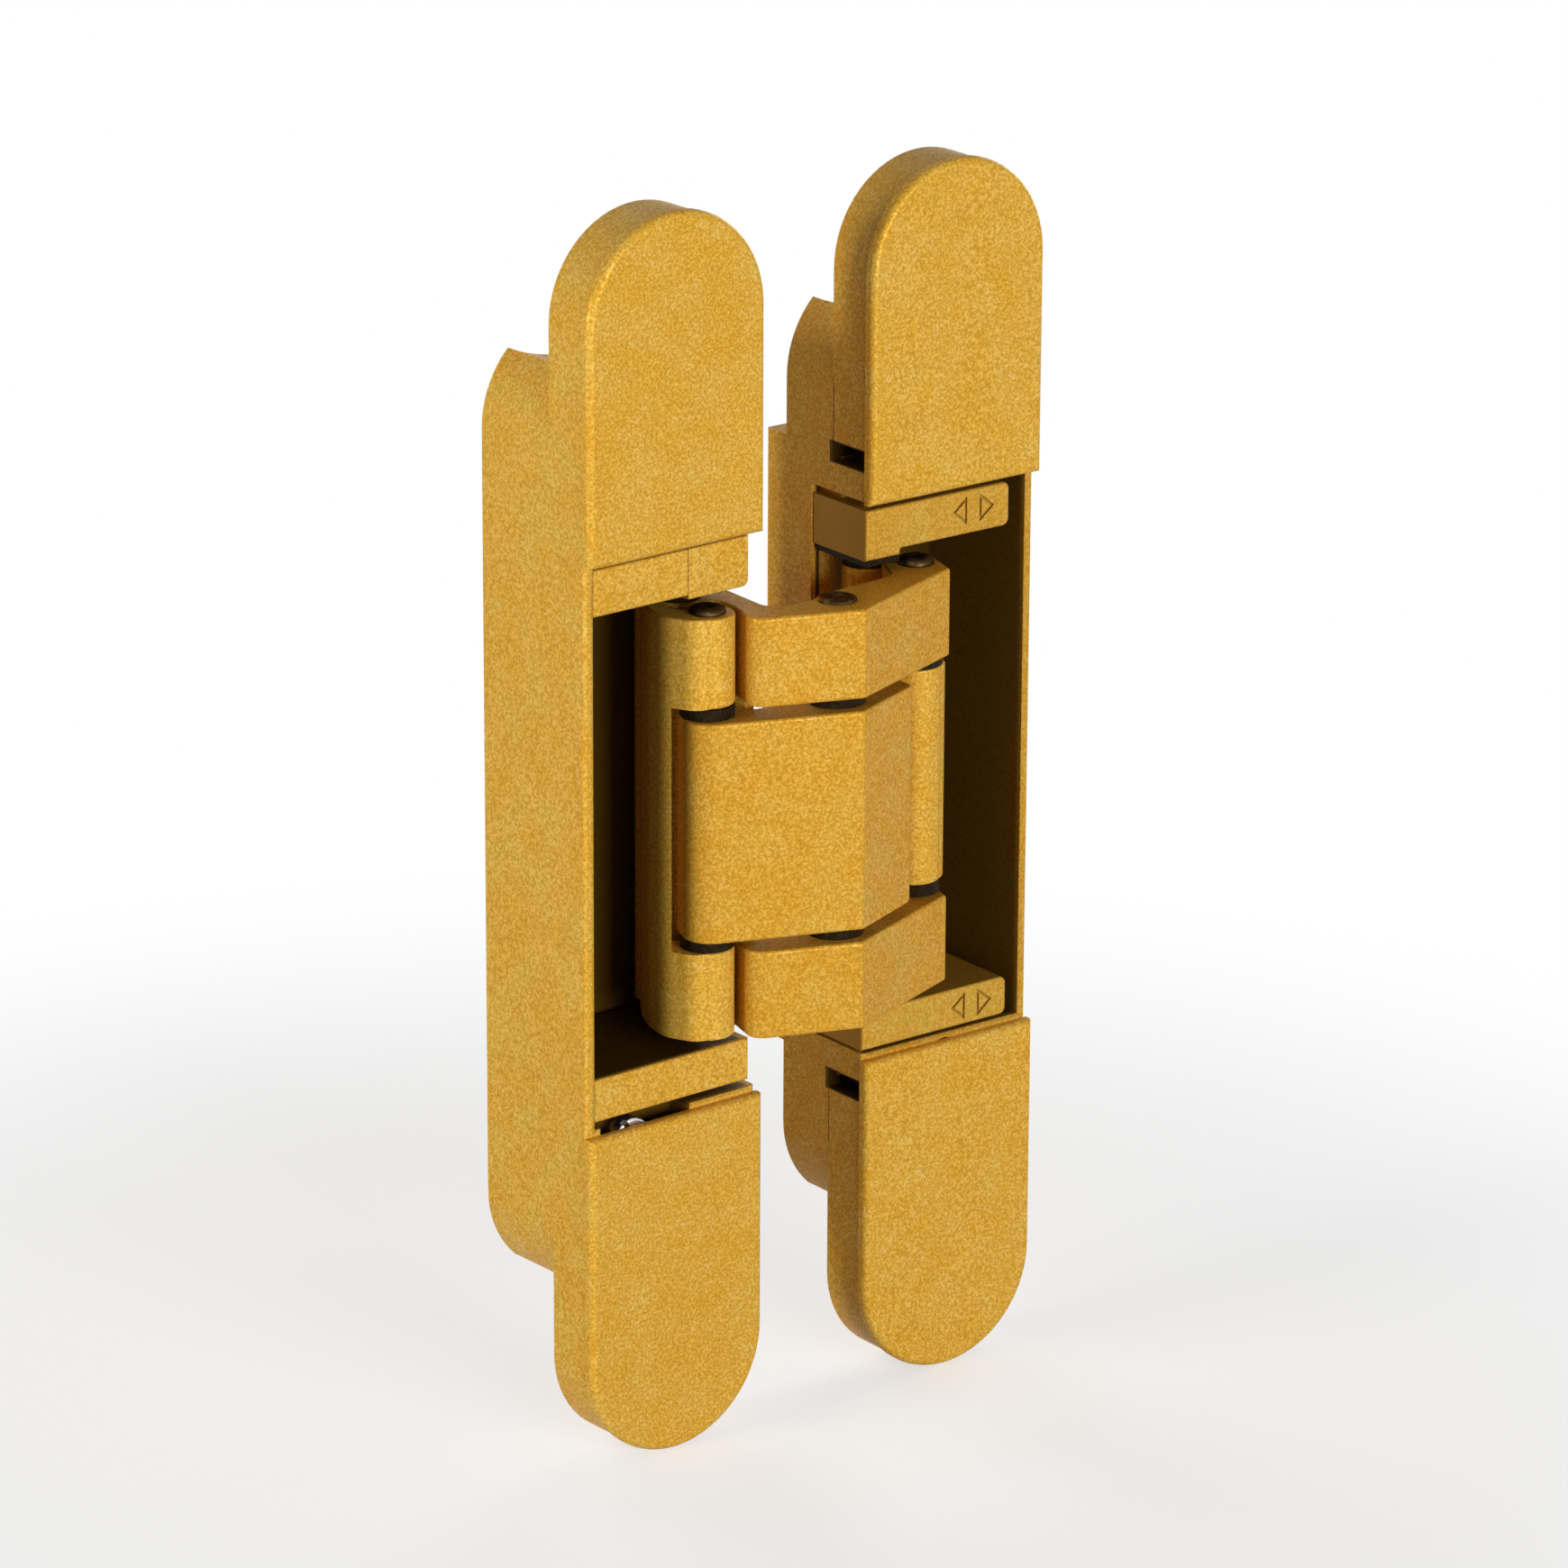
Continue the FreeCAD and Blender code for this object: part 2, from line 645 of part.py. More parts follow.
forkUp = slab(forkPlan, armMiddle + forkGap, armHigh)
forkUp = forkUp.fuse(pinAlongZ(armPivot, armKnuckle, armMiddle + forkGap, armHigh))
forkUp = eased(forkUp.removeSplitter(), armEdge)
forkDown = slab(forkPlan, armLow, armMiddle - forkGap)
forkDown = forkDown.fuse(pinAlongZ(armPivot, armKnuckle, armLow, armMiddle - forkGap))
forkDown = eased(forkDown.removeSplitter(), armEdge)
webEnds = (armMiddle - forkGap - 1, armMiddle + forkGap + 1)
webPlan = [
    leg[3],
    leg[2],
    near(armPivot, 2.73, -4.05, 0.6),
    near(armPivot, 4.48, -6.95, 0.4),
    near(armPivot, 5.88, -6.95, 0.4),
    near(armPivot, 6.4, -1.2, 1.6),
    near(armPivot, 0.55 * armKnuckle, 0.75 * armKnuckle, 0),
]
forkWeb = slab(webPlan, *webEnds).fuse(pinAlongZ(armPivot, armKnuckle, *webEnds)).removeSplitter()
forkArm = forkUp.fuse([forkDown, forkWeb]).removeSplitter()
forkArm = forkArm.cut(pinAlongZ(armPivot, armPinRadius + fit, armLow - 1, armHigh + 1))
forkArm = forkArm.cut(pinAlongZ(centrePivot, centrePinRadius, armLow - 1, armHigh + 1))
forkArm = forkArm.cut(pinAlongZ(doorKnucklePivot, nearPinRadius + fit, armLow - 1, armHigh + 1))
parts["fork_arm"] = forkArm

innerArm = eased(slab(innerPlan, armMiddle - blockHalf, armMiddle + blockHalf), armEdge)
innerKnuckleTop = armHigh - doorKnuckleDrop
innerArm = innerArm.fuse(pinAlongZ(doorArmPivot, armKnuckle, armLow, innerKnuckleTop)).removeSplitter()
innerArm = innerArm.cut(pinAlongZ(doorArmPivot, armPinRadius + fit, armLow - 1, armHigh + 1))
innerArm = innerArm.cut(pinAlongZ(centrePivot, centrePinRadius + fit, armLow - 1, armHigh + 1))
innerArm = innerArm.cut(pinAlongZ(knucklePivot, nearPinRadius, armLow - 1, armHigh + 1))
parts["inner_arm"] = innerArm


def linkPlan(nearPivot, farPivot, bow):
    """Bowed link between two pivots, drawn for the frame unit."""
    return [
        near(nearPivot, 0.6, 0.5 - nearKnuckle, 0.8),
        near(nearPivot, -0.1 - nearKnuckle, -2.34, 2.5),
        near(nearPivot, -5.17 + bow, 1.66, 4.0),
        near(nearPivot, -4.37 + bow, 5.46, 6.0),
        near(farPivot, -5.73 + bow, -4.97, 6.0),
        near(farPivot, -1.23 - linkKnuckle, -1.77, 4.0),
        near(farPivot, -1.03, 1.23, 1.0),
        near(farPivot, 0.27, -1.17, 0.6),
        near(farPivot, -2.13, -2.77, 1.5),
        near(farPivot, -4.33, -4.87, 2.5),
        near(farPivot, -5.13, -7.07, 2.5),
        near(nearPivot, -2.22, 3.96, 1.5),
        near(nearPivot, -0.52, 1.66, 0.5),
    ]


def knuckle(centre, radius, z0, z1):
    """Round knuckle with eased ends."""
    return softened(pinAlongZ(centre, radius, z0, z1), linkEdge, lambda e: e.BoundBox.ZLength < 0.01)


# Frame link: a tall bowed plate with a knuckle above and below the inner arm.
frameLink = eased(slab(linkPlan(knucklePivot, linkPivot, 0), armLow, armHigh), linkEdge)
linkClearance = nearKnuckle + 1.55
linkGap = (armMiddle - forkGap, armMiddle + forkGap)
frameLink = frameLink.cut(pinAlongZ(knucklePivot, linkClearance, *linkGap))
frameLink = frameLink.fuse([
    knuckle(linkPivot, linkKnuckle, armLow, armHigh),
    knuckle(knucklePivot, nearKnuckle, armMiddle + forkGap, armHigh),
    knuckle(knucklePivot, nearKnuckle, armLow, armMiddle - forkGap),
])
frameLink = frameLink.cut(pinAlongZ(linkPivot, linkPinRadius, armLow - 1, armHigh + 1))
frameLink = frameLink.cut(pinAlongZ(knucklePivot, nearPinRadius + fit, armLow - 1, armHigh + 1))
parts["frame_link"] = frameLink

# Door link: the same bow the other way round, with one knuckle between the
# fork's prongs.
doorLinkBow = 0.75
mirroredNear = mirrored(doorKnucklePivot)
mirroredFar = mirrored(doorLinkPivot)
plan = linkPlan(mirroredNear, mirroredFar, doorLinkBow)
doorLinkPlan = [mirrored(p[:2]) + (p[2],) for p in plan]
doorLink = eased(slab(doorLinkPlan, armMiddle - blockHalf, armMiddle + blockHalf), linkEdge)
doorLink = doorLink.fuse([
    knuckle(doorKnucklePivot, nearKnuckle, armMiddle - blockHalf, armMiddle + blockHalf),
    knuckle(doorLinkPivot, linkKnuckle, armLow, armHigh),
])
doorLink = doorLink.cut(pinAlongZ(doorLinkPivot, linkPinRadius, armLow - 1, armHigh + 1))
doorLink = doorLink.cut(pinAlongZ(doorKnucklePivot, nearPinRadius, armLow, armHigh))
parts["door_link"] = doorLink


def rivet(centre, radius, low, high, height):
    """Pin with a domed head at both ends and a shallow cup in each head."""
    shape = pinAlongZ(centre, radius, low, high)
    for z, direction in ((high, 1), (low, -1)):
        base = vec(centre[0], centre[1], z)
        button = Part.makeCylinder(radius + pinHeadLip, height, base, upAxis * direction)
        outer = z + direction * height
        rounding = pinHeadRounding * height
        button = softened(
            button, rounding,
            lambda e: abs(e.CenterOfMass.z - outer) < 0.01 and e.BoundBox.ZLength < 0.01,
        )
        cupRadius = radius / 2
        cupDepth = height * pinHeadCup
        cupBase = vec(*centre, outer)
        cup = Part.makeCone(cupRadius, cupRadius * 0.6, cupDepth, cupBase, upAxis * -direction)
        shape = shape.fuse(button).cut(cup)
    return shape.removeSplitter()


def ring(centre, outer, inner, low, high):
    return pinAlongZ(centre, outer, low, high).cut(pinAlongZ(centre, inner, low - 1, high + 1))


parts["centre_pin"] = rivet(centrePivot, centrePinRadius, armLow, armHigh, centreHeadHeight)
nearPinEnds = (armLow - fit, armHigh + fit)
parts["frame_knuckle_pin"] = rivet(knucklePivot, nearPinRadius, *nearPinEnds, frameHeadHeight)
parts["door_knuckle_pin"] = rivet(doorKnucklePivot, nearPinRadius, *nearPinEnds, doorHeadHeight)
parts["frame_arm_pin"] = pinAlongZ(armPivot, armPinRadius, bottomSeats[0], topSeats[1])
doorPinEnds = (doorBlockBottom[1] - seatDepth, doorBlockTop[0] + seatDepth)
parts["door_arm_pin"] = pinAlongZ(doorArmPivot, armPinRadius, *doorPinEnds)
pinEnd = seatDepth - 0.3
for name, pivot, lowFace, highFace in (
    ("frame_link_pin", linkPivot, frameBlockBottom[1], frameBlockTop[0]),
    ("door_link_pin", doorLinkPivot, doorBlockBottom[1], doorBlockTop[0]),
):
    parts[name] = pinAlongZ(pivot, linkPinRadius, lowFace - pinEnd, highFace + pinEnd)

# Spacer washers between the bearing faces. Each one sits against its own
# carrier and clears the other face.
bearings = (
    ("centre", centrePivot, centrePinRadius, forkGap - washerThickness),
    ("frame_knuckle", knucklePivot, nearPinRadius, blockHalf),
    ("door_knuckle", doorKnucklePivot, nearPinRadius, blockHalf),
)
for name, pivot, radius, start in bearings:
    outer = radius + washerLip
    inner = radius + washerFit
    low = armMiddle + start
    parts[name + "_washer_top"] = ring(pivot, outer, inner, low, low + washerThickness)
    high = armMiddle - start
    parts[name + "_washer_bottom"] = ring(pivot, outer, inner, high - washerThickness, high)

spacerOuter = armPinRadius + spacerLip
spacerInner = armPinRadius + washerFit
spacerGap = 2 * fit
for name, pivot, topArmZ, topBlockZ, bottomBlockZ in (
    ("frame", armPivot, armHigh, frameBlockTop[0], frameBlockBottom[1]),
    ("door", doorArmPivot, innerKnuckleTop, doorBlockTop[0], doorBlockBottom[1]),
):
    radii = (spacerOuter, spacerInner)
    parts[name + "_arm_spacer_top"] = ring(pivot, *radii, topArmZ + spacerGap, topBlockZ)
    parts[name + "_arm_spacer_bottom"] = ring(pivot, *radii, bottomBlockZ, armLow - spacerGap)

# Thin plates under both upper blocks, each made with its arm spacer.
plateRear = armPivotDepth + spacerOuter
plateInset = doorBlockInset + 0.2
plate = box(
    plateInset, footEnd - 0.1, blockFront + 0.2, plateRear,
    doorBlockTop[0] - footPlate, doorBlockTop[0],
)
plate = placeDoor(plate).cut(pinAlongZ(doorArmPivot, spacerInner, armLow, doorBlockTop[1]))
parts["door_arm_spacer_top"] = parts["door_arm_spacer_top"].fuse(plate).removeSplitter()
plate = box(
    armPivot[0] - spacerOuter + 0.5, blockRight - fit, blockFront + insertDepth + 0.1,
    armPivot[1] + spacerOuter - 1, frameBlockTop[0] - plateDrop, frameBlockTop[0],
)
plate = plate.cut(pinAlongZ(armPivot, spacerInner, armLow, frameBlockTop[1]))
parts["frame_arm_spacer_top"] = parts["frame_arm_spacer_top"].fuse(plate).removeSplitter()

os.makedirs("parts", exist_ok=True)
for name in sorted(parts):
    shape = parts[name].copy()
    shape.translate(vec(-middle, -flangeRear))
    if len(shape.Solids) != 1 or not shape.isValid():
        print("check", name, "solids", len(shape.Solids), "valid", shape.isValid())
    shape.exportStep("parts/" + name + ".step")
print("pieces", len(parts))
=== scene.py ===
import bpy
import bmesh
import json
import math
from mathutils import Matrix, Vector


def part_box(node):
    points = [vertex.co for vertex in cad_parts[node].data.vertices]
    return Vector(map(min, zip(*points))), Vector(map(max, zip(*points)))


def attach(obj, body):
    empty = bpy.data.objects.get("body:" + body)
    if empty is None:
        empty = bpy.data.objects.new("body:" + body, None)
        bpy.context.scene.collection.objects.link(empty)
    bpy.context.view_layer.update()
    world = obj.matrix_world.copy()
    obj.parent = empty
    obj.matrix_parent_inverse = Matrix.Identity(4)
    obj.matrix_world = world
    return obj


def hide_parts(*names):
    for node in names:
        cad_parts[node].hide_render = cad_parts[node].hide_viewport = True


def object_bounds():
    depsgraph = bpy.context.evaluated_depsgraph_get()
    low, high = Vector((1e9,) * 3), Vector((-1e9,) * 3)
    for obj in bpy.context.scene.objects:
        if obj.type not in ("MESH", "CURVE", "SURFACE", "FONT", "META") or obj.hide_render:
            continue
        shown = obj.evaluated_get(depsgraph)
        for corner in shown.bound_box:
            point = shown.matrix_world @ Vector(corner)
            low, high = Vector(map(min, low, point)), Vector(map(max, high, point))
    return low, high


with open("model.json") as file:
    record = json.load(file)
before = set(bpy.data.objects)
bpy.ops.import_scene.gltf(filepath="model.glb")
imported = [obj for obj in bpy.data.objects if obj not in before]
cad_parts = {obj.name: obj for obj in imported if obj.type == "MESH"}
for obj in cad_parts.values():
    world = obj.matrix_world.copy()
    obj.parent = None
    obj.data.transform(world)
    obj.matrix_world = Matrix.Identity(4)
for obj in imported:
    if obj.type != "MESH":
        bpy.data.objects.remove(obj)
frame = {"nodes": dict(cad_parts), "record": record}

cadBox = [list(map(float, corner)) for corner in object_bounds()]
scene = bpy.context.scene
scene.view_settings.view_transform = "Standard"
mm = 0.001


def newMaterial(name):
    material = bpy.data.materials.new(name)
    material.use_nodes = True
    return material, material.node_tree.nodes, material.node_tree.links


def addNode(tree, kind, **values):
    node = tree.nodes.new(kind)
    for key, value in values.items():
        setattr(node, key, value)
    return node


def mathNode(tree, operation, first, second=None):
    node = addNode(tree, "ShaderNodeMath", operation=operation)
    for socket, value in zip(node.inputs, (first, second)):
        if value is None:
            continue
        if isinstance(value, (int, float)):
            socket.default_value = value
        else:
            tree.links.new(value, socket)
    return node.outputs[0]


def rampNode(tree, value, low, high, outLow=0.0, outHigh=1.0):
    node = addNode(tree, "ShaderNodeMapRange", interpolation_type="SMOOTHSTEP")
    tree.links.new(value, node.inputs["Value"])
    limits = {"From Min": low, "From Max": high, "To Min": outLow, "To Max": outHigh}
    for key, number in limits.items():
        node.inputs[key].default_value = number
    return node.outputs["Result"]


def mixColours(tree, factor, first, second, blend="MIX"):
    node = addNode(tree, "ShaderNodeMix", data_type="RGBA", blend_type=blend)
    for index, value in ((0, factor), (6, first), (7, second)):
        if isinstance(value, (int, float, tuple)):
            node.inputs[index].default_value = value
        else:
            tree.links.new(value, node.inputs[index])
    return node.outputs[2]


def shaderGroup(name, inputs, outputs):
    tree = bpy.data.node_groups.new(name, "ShaderNodeTree")
    for label, kind, value in inputs:
        socket = tree.interface.new_socket(label, in_out="INPUT", socket_type=kind)
        socket.default_value = value
    for label, kind in outputs:
        tree.interface.new_socket(label, in_out="OUTPUT", socket_type=kind)
    return tree, tree.nodes.new("NodeGroupInput"), tree.nodes.new("NodeGroupOutput")


def placeGroup(tree, group, values):
    node = tree.nodes.new("ShaderNodeGroup")
    node.node_tree = group
    for key, value in values.items():
        if hasattr(value, "is_linked"):
            tree.links.new(value, node.inputs[key])
        else:
            node.inputs[key].default_value = value
    return node


def objectPlace(tree):
    return tree.nodes.new("ShaderNodeTexCoord").outputs["Object"]


def noiseNode(tree, place, scale, detail):
    node = addNode(tree, "ShaderNodeTexNoise")
    node.inputs["Detail"].default_value = detail
    tree.links.new(place, node.inputs["Vector"])
    if isinstance(scale, float):
        node.inputs["Scale"].default_value = scale
    else:
        tree.links.new(scale, node.inputs["Scale"])
    return node


def addBump(tree, shader, height, strength, distance):
    bump = addNode(tree, "ShaderNodeBump")
    bump.inputs["Strength"].default_value = strength
    bump.inputs["Distance"].default_value = distance
    tree.links.new(height, bump.inputs["Height"])
    tree.links.new(bump.outputs[0], shader.inputs["Normal"])


# The camera was fitted to the photograph's edges. Its axes are given in the part's frame.
view = {
    "place": (-0.506448, -0.639832, 0.279592),
    "right": (0.770949, -0.636877, 0.005095),
    "down": (-0.196543, -0.245512, -0.949260),
    "forward": (0.605812, 0.730829, -0.314451),
    "sensor": 36.0,
    "lens": 171.297,
    "shift": (-0.0081, -0.01931),
    "clip": (0.05, 20.0),
}

# Azimuth is measured from the front of the hinge, positive to its right. The lamps hang low,
# so that faces turned upwards stay dark.
lamps = {
    "front": {"azimuth": -4, "height": 7, "size": (0.6, 0.4), "watts": 8.0},
    "left": {"azimuth": -97, "height": 5, "size": (0.25, 0.4), "watts": 6.3},
    "right": {"azimuth": 112, "height": 6, "size": (0.5, 0.5), "watts": 4.5},
    "behind": {"azimuth": 172, "height": 12, "size": (0.7, 0.5), "watts": 5.0},
}
lampDistance = 1.0
lampAim = (0.015, 0.0, 0.0)
surround = {"light": 0.06, "seen": 1.0}
floorLook = {"halfSide": 4.0, "tone": 0.50, "glow": 0.60, "fadeFrom": 0.12, "fadeTo": 0.22}


def makeCamera():
    data = bpy.data.cameras.new("camera")
    data.sensor_width = view["sensor"]
    data.sensor_fit = "HORIZONTAL"
    data.lens = view["lens"]
    data.shift_x, data.shift_y = view["shift"]
    data.clip_start, data.clip_end = view["clip"]
    camera = bpy.data.objects.new("camera", data)
    scene.collection.objects.link(camera)
    right = Vector(view["right"]).normalized()
    up = -Vector(view["down"]).normalized()
    back = -Vector(view["forward"]).normalized()
    turn = Matrix((right, up, back)).transposed().to_4x4()
    camera.matrix_world = Matrix.Translation(view["place"]) @ turn
    scene.camera = camera


def makeLamps():
    for name, lamp in lamps.items():
        data = bpy.data.lights.new(name, "AREA")
        data.shape = "RECTANGLE"
        data.size, data.size_y = lamp["size"]
        data.energy = lamp["watts"]
        across = math.radians(lamp["azimuth"])
        rise = math.radians(lamp["height"])
        level = math.cos(rise)
        towards = Vector((math.sin(across) * level, -math.cos(across) * level, math.sin(rise)))
        light = bpy.data.objects.new(name, data)
        scene.collection.objects.link(light)
        light.location = Vector(lampAim) + towards * lampDistance
        light.rotation_euler = (-towards).to_track_quat("-Z", "Y").to_euler()


def seenDirectly(tree):
    path = tree.nodes.new("ShaderNodeLightPath")
    seen = mathNode(tree, "MAXIMUM", path.outputs["Is Camera Ray"], path.outputs["Is Glossy Ray"])
    return mathNode(tree, "MAXIMUM", seen, path.outputs["Is Transmission Ray"])


def makeWorld():
    world = bpy.data.worlds.new("studio")
    world.use_nodes = True
    scene.world = world
    tree = world.node_tree
    tree.nodes.clear()
    out = tree.nodes.new("ShaderNodeOutputWorld")
    mix = tree.nodes.new("ShaderNodeMixShader")
    tree.links.new(seenDirectly(tree), mix.inputs[0])
    for index, strength in ((1, surround["light"]), (2, surround["seen"])):
        background = tree.nodes.new("ShaderNodeBackground")
        background.inputs["Color"].default_value = (1.0, 1.0, 1.0, 1.0)
        background.inputs["Strength"].default_value = strength
        tree.links.new(background.outputs[0], mix.inputs[index])
    tree.links.new(mix.outputs[0], out.inputs[0])


# The floor keeps the shadow near the hinge and turns into the white backdrop further out.
def makeFloor():
    material, nodes, links = newMaterial("paleFloor")
    tree = material.node_tree
    nodes.clear()
    out = tree.nodes.new("ShaderNodeOutputMaterial")
    matt = tree.nodes.new("ShaderNodeBsdfDiffuse")
    tone = floorLook["tone"]
    matt.inputs["Color"].default_value = (tone, tone, tone, 1.0)
    glow = tree.nodes.new("ShaderNodeEmission")
    white = tree.nodes.new("ShaderNodeEmission")
    seen = seenDirectly(tree)
    links.new(mathNode(tree, "MULTIPLY", seen, floorLook["glow"]), glow.inputs["Strength"])
    near = tree.nodes.new("ShaderNodeAddShader")
    links.new(matt.outputs[0], near.inputs[0])
    links.new(glow.outputs[0], near.inputs[1])
    away = addNode(tree, "ShaderNodeVectorMath", operation="LENGTH")
    links.new(objectPlace(tree), away.inputs[0])
    far = rampNode(tree, away.outputs["Value"], floorLook["fadeFrom"], floorLook["fadeTo"])
    mix = tree.nodes.new("ShaderNodeMixShader")
    links.new(mathNode(tree, "MULTIPLY", far, seen), mix.inputs[0])
    links.new(near.outputs[0], mix.inputs[1])
    links.new(white.outputs[0], mix.inputs[2])
    links.new(mix.outputs[0], out.inputs["Surface"])
    lowest = cadBox[0][2]
    mesh = bpy.data.meshes.new("floor")
    side = floorLook["halfSide"]
    corners = [(x * side, y * side, lowest) for x, y in ((-1, -1), (1, -1), (1, 1), (-1, 1))]
    mesh.from_pydata(corners, [], [(0, 1, 2, 3)])
    mesh.materials.append(material)
    floor = bpy.data.objects.new("floor", mesh)
    scene.collection.objects.link(floor)


makeCamera()
makeLamps()
makeWorld()
makeFloor()
print("stage: camera, lamps and floor")

# Limits between which a noise turns into a mark of the coat, and how the marks shift its
# roughness.
coatMarks = {
    "detail": 2.0,
    "noiseRoughness": 0.55,
    "dark": (0.56, 0.34),
    "light": (0.50, 0.72),
    "lightShare": 0.8,
    "flakeScale": 1.3,
    "glint": (0.82, 1.0),
    "cloudScale": 220.0,
    "cloudDetail": 3.0,
    "cloud": (0.32, 0.68),
    "glintPolish": 0.14,
    "poreDullness": 0.12,
}


# Fine grain of a metallic powder coat: darker pores, light flakes that shine
# a little more, and a soft cloud of tone.
def makeCoatGrain():
    tree, given, result = shaderGroup(
        "coatGrain",
        (
            ("Colour", "NodeSocketColor", (0.6, 0.4, 0.1, 1.0)),
            ("Dark Fleck", "NodeSocketColor", (0.3, 0.2, 0.05, 1.0)),
            ("Bright Fleck", "NodeSocketColor", (0.9, 0.7, 0.4, 1.0)),
            ("Cloud Deep", "NodeSocketColor", (1.0, 0.9, 0.8, 1.0)),
            ("Cloud Pale", "NodeSocketColor", (1.0, 1.0, 1.0, 1.0)),
            ("Grain Scale", "NodeSocketFloat", 3000.0),
            ("Fleck Strength", "NodeSocketFloat", 0.5),
            ("Roughness", "NodeSocketFloat", 0.45),
        ),
        (("Colour", "NodeSocketColor"), ("Roughness", "NodeSocketFloat"), ("Height", "NodeSocketFloat")),
    )
    place = objectPlace(tree)
    scale = given.outputs["Grain Scale"]
    strength = given.outputs["Fleck Strength"]
    grain = noiseNode(tree, place, scale, coatMarks["detail"])
    grain.inputs["Roughness"].default_value = coatMarks["noiseRoughness"]
    cloud = noiseNode(tree, place, coatMarks["cloudScale"], coatMarks["cloudDetail"])
    flakes = addNode(tree, "ShaderNodeTexVoronoi", feature="F1")
    tree.links.new(place, flakes.inputs["Vector"])
    tree.links.new(mathNode(tree, "MULTIPLY", scale, coatMarks["flakeScale"]), flakes.inputs["Scale"])
    parted = addNode(tree, "ShaderNodeSeparateColor")
    tree.links.new(flakes.outputs["Color"], parted.inputs[0])
    dark = rampNode(tree, grain.outputs["Fac"], *coatMarks["dark"])
    light = rampNode(tree, grain.outputs["Fac"], *coatMarks["light"])
    glint = rampNode(tree, parted.outputs[0], *coatMarks["glint"])
    bright = mathNode(tree, "MAXIMUM", mathNode(tree, "MULTIPLY", light, coatMarks["lightShare"]), glint)
    darkShare = mathNode(tree, "MULTIPLY", dark, strength)
    brightShare = mathNode(tree, "MULTIPLY", bright, strength)
    tone = mixColours(tree, darkShare, given.outputs["Colour"], given.outputs["Dark Fleck"])
    tone = mixColours(tree, brightShare, tone, given.outputs["Bright Fleck"])
    cloudy = rampNode(tree, cloud.outputs["Fac"], *coatMarks["cloud"])
    tint = mixColours(tree, cloudy, given.outputs["Cloud Deep"], given.outputs["Cloud Pale"])
    tone = mixColours(tree, 1.0, tone, tint, "MULTIPLY")
    tree.links.new(tone, result.inputs["Colour"])
    polish = mathNode(tree, "MULTIPLY", glint, coatMarks["glintPolish"])
    dullness = mathNode(tree, "MULTIPLY", dark, coatMarks["poreDullness"])
    rough = mathNode(tree, "SUBTRACT", given.outputs["Roughness"], polish)
    tree.links.new(mathNode(tree, "ADD", rough, dullness), result.inputs["Roughness"])
    tree.links.new(grain.outputs["Fac"], result.inputs["Height"])
    return tree


# How far a point lies inside a box that is turned about the upright axis: 0 outside, 1 well
# inside. The boxes mark where painted shade darkens the coat.
def makePaintedShadeBoxMask():
    tree, given, result = shaderGroup(
        "paintedShadeBoxMask",
        (
            ("Centre", "NodeSocketVector", (0.0, 0.0, 0.0)),
            ("Turn", "NodeSocketFloat", 0.0),
            ("Low", "NodeSocketVector", (-0.01, -0.01, -0.01)),
            ("High", "NodeSocketVector", (0.01, 0.01, 0.01)),
            ("Soft Low", "NodeSocketVector", (0.0003, 0.0015, 0.0003)),
            ("Soft High", "NodeSocketVector", (0.0003, 0.0003, 0.0003)),
        ),
        (("Mask", "NodeSocketFloat"),),
    )

    def vectorNode(operation, first, second):
        node = addNode(tree, "ShaderNodeVectorMath", operation=operation)
        for socket, value in zip(node.inputs, (first, second)):
            if isinstance(value, tuple):
                socket.default_value = value
            else:
                tree.links.new(value, socket)
        return node.outputs[0]

    turned = addNode(tree, "ShaderNodeVectorRotate", rotation_type="Z_AXIS")
    tree.links.new(objectPlace(tree), turned.inputs["Vector"])
    tree.links.new(given.outputs["Centre"], turned.inputs["Center"])
    tree.links.new(given.outputs["Turn"], turned.inputs["Angle"])
    own = vectorNode("SUBTRACT", turned.outputs[0], given.outputs["Centre"])

    def pastEdge(inner, outer, soft):
        steps = vectorNode("DIVIDE", vectorNode("SUBTRACT", inner, outer), given.outputs[soft])
        return vectorNode("MINIMUM", vectorNode("MAXIMUM", steps, (0.0, 0.0, 0.0)), (1.0, 1.0, 1.0))

    pastLow = pastEdge(own, given.outputs["Low"], "Soft Low")
    pastHigh = pastEdge(given.outputs["High"], own, "Soft High")
    share = vectorNode("MULTIPLY", pastLow, pastHigh)
    axes = tree.nodes.new("ShaderNodeSeparateXYZ")
    tree.links.new(share, axes.inputs[0])
    acrossShare = mathNode(tree, "MULTIPLY", axes.outputs[0], axes.outputs[1])
    mask = mathNode(tree, "MULTIPLY", acrossShare, axes.outputs[2])
    tree.links.new(mask, result.inputs["Mask"])
    return tree


coatGrain = makeCoatGrain()
paintedShadeBoxMask = makePaintedShadeBoxMask()

